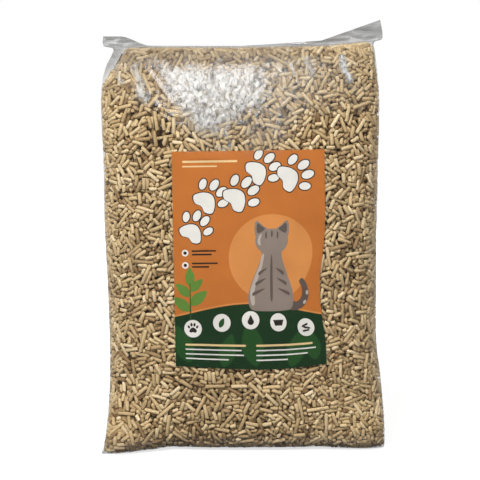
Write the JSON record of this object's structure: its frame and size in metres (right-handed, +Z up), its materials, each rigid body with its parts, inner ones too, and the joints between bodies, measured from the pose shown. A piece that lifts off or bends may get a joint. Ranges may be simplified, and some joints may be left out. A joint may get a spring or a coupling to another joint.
{
  "type": "cat litter bag",
  "caption": "Upright clear film pillow bag filled with wood pellet cat litter, welded at top and bottom, with a loose printed sheet behind its front.",
  "frame": {"origin": "middle of the bounding box at the floor the bag stands on", "axes": "+Z up from the standing bottom to the top seal, -Y out of the front with the printed sheet, +X to the right seen from the front"},
  "size_m": [0.4056, 0.1523, 0.606],
  "materials": {
    "clear_film": "clear colourless polyethylene film, glossy, slightly creased",
    "printed_paper": "smooth printed paper, orange and dark green",
    "wood_pellets": "pressed softwood pellets, dull, pale brown"
  },
  "bodies": {
    "root": {"film_bag": "clear_film", "label_sheet": "printed_paper", "pellet_fill": "wood_pellets"}
  },
  "joints": []
}
